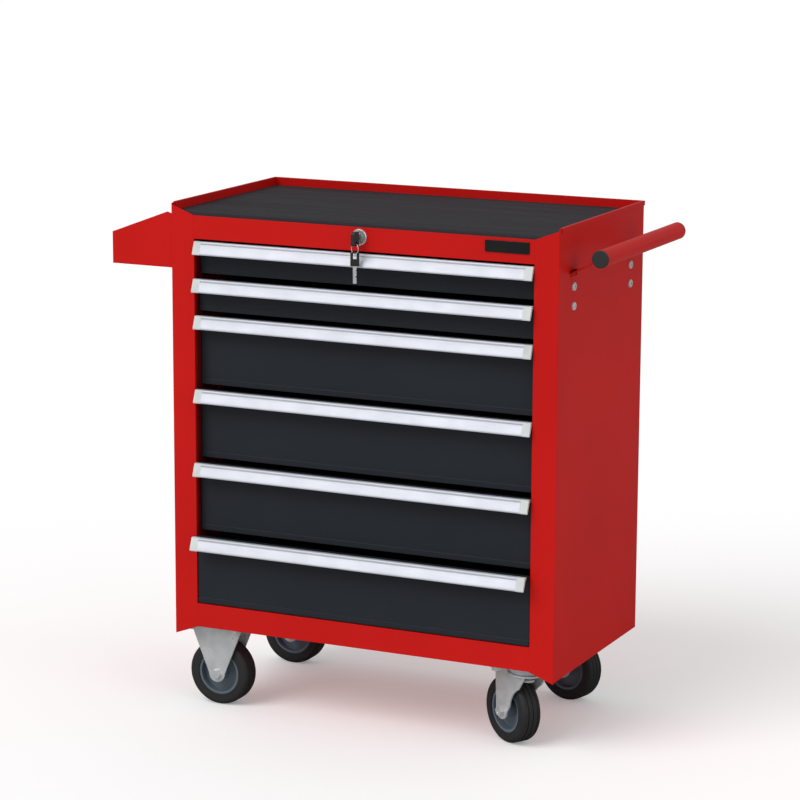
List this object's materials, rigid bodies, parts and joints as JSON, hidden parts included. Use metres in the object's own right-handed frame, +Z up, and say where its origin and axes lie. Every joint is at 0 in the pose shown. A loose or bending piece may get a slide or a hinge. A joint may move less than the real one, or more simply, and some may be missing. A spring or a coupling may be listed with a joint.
{
  "type": "tool cart",
  "caption": "Red sheet-steel roller tool cabinet with drawers, lined top tray, push handle, side bin and castors.",
  "frame": {"origin": "centre of the underside of the whole part, on the floor", "axes": "+X to the handle side, -Y out of the drawer fronts, +Z up"},
  "size_m": [0.7876, 0.3556, 0.7701],
  "materials": {
    "red_paint": "gloss powder coat",
    "rubber_mat": "ribbed matt rubber",
    "dark_paint": "satin",
    "anodised": "satin anodised",
    "grey_plastic": "matt",
    "black_plastic": "matt",
    "black_gloss": "gloss",
    "chrome": "polished",
    "tyre": "matt",
    "wheel_rim": "satin",
    "zinc": "bright zinc plate"
  },
  "bodies": {
    "root": {"side_panel_left": "red_paint", "side_panel_right": "red_paint", "back_panel": "red_paint", "bottom_panel": "red_paint", "front_bottom_rail": "red_paint", "front_top_rail": "red_paint", "top_tray": "red_paint", "top_mat": "rubber_mat", "slide_uprights": "red_paint", "slide_rails": "zinc", "side_bin": "red_paint", "handle_tube": "red_paint", "handle_end_caps": "black_plastic", "handle_brackets": "red_paint", "panel_fasteners": "zinc", "name_plate": "black_gloss", "lock_housing": "chrome", "castor_fasteners": "zinc", "fixed_forks": "zinc", "fixed_axles": "zinc", "swivel_plates": "zinc"},
    "lock_plug": {"lock_plug": "chrome", "lock_key": "black_plastic"},
    "lock_bar": {"lock_bar": "zinc"},
    "drawer_1": {"drawer_1_box": "dark_paint", "drawer_1_pull": "anodised", "drawer_1_pull_caps": "grey_plastic", "drawer_1_slides": "zinc"},
    "drawer_2": {"drawer_2_box": "dark_paint", "drawer_2_pull": "anodised", "drawer_2_pull_caps": "grey_plastic", "drawer_2_slides": "zinc"},
    "drawer_3": {"drawer_3_box": "dark_paint", "drawer_3_pull": "anodised", "drawer_3_pull_caps": "grey_plastic", "drawer_3_slides": "zinc"},
    "drawer_4": {"drawer_4_box": "dark_paint", "drawer_4_pull": "anodised", "drawer_4_pull_caps": "grey_plastic", "drawer_4_slides": "zinc"},
    "drawer_5": {"drawer_5_box": "dark_paint", "drawer_5_pull": "anodised", "drawer_5_pull_caps": "grey_plastic", "drawer_5_slides": "zinc"},
    "drawer_6": {"drawer_6_box": "dark_paint", "drawer_6_pull": "anodised", "drawer_6_pull_caps": "grey_plastic", "drawer_6_slides": "zinc"},
    "fixed_wheel_front": {"fixed_rim_front": "wheel_rim", "fixed_tyre_front": "tyre"},
    "fixed_wheel_rear": {"fixed_rim_rear": "wheel_rim", "fixed_tyre_rear": "tyre"},
    "swivel_fork_front": {"swivel_fork_front": "zinc"},
    "swivel_wheel_front": {"swivel_rim_front": "wheel_rim", "swivel_tyre_front": "tyre"},
    "swivel_fork_rear": {"swivel_fork_rear": "zinc"},
    "swivel_wheel_rear": {"swivel_rim_rear": "wheel_rim", "swivel_tyre_rear": "tyre"}
  },
  "joints": [
    {"name": "drawer_1_slide", "type": "slide", "parent": "root", "child": "drawer_1", "axis": [0, -1, 0], "range_m": [0, 0.26]},
    {"name": "drawer_2_slide", "type": "slide", "parent": "root", "child": "drawer_2", "axis": [0, -1, 0], "range_m": [-0.004, 0.256]},
    {"name": "drawer_3_slide", "type": "slide", "parent": "root", "child": "drawer_3", "axis": [0, -1, 0], "range_m": [0, 0.26]},
    {"name": "drawer_4_slide", "type": "slide", "parent": "root", "child": "drawer_4", "axis": [0, -1, 0], "range_m": [-0.001, 0.259]},
    {"name": "drawer_5_slide", "type": "slide", "parent": "root", "child": "drawer_5", "axis": [0, -1, 0], "range_m": [-0.005, 0.255]},
    {"name": "drawer_6_slide", "type": "slide", "parent": "root", "child": "drawer_6", "axis": [0, -1, 0], "range_m": [-0.016, 0.244]},
    {"name": "fixed_wheel_front_spin", "type": "hinge", "parent": "root", "child": "fixed_wheel_front", "pos_m": [-0.2348, -0.10945, 0.05], "axis": [0, 1, 0], "continuous": true},
    {"name": "swivel_front_turn", "type": "hinge", "parent": "root", "child": "swivel_fork_front", "pos_m": [0.2672, -0.10945, 0.11], "axis": [0, 0, 1], "continuous": true},
    {"name": "swivel_wheel_front_spin", "type": "hinge", "parent": "swivel_fork_front", "child": "swivel_wheel_front", "pos_m": [0.2372, -0.09142, 0.05], "axis": [-0.515, -0.8572, 0], "continuous": true},
    {"name": "fixed_wheel_rear_spin", "type": "hinge", "parent": "root", "child": "fixed_wheel_rear", "pos_m": [-0.2348, 0.13255, 0.05], "axis": [0, 1, 0], "continuous": true},
    {"name": "swivel_rear_turn", "type": "hinge", "parent": "root", "child": "swivel_fork_rear", "pos_m": [0.2672, 0.13255, 0.11], "axis": [0, 0, 1], "continuous": true},
    {"name": "swivel_wheel_rear_spin", "type": "hinge", "parent": "swivel_fork_rear", "child": "swivel_wheel_rear", "pos_m": [0.23324, 0.14102, 0.05], "axis": [-0.2419, -0.9703, 0], "continuous": true},
    {"name": "lock_turn", "type": "hinge", "parent": "root", "child": "lock_plug", "pos_m": [0.0162, -0.15345, 0.7385], "axis": [0, 1, 0], "range_deg": [0, 90]},
    {"name": "lock_bar_drop", "type": "slide", "parent": "root", "child": "lock_bar", "axis": [0, 0, -1], "range_m": [0, 0.008]}
  ],
  "couplings": [
    {"joint": "lock_turn", "follows": "lock_bar_drop", "rad_per_m": 196.15}
  ]
}
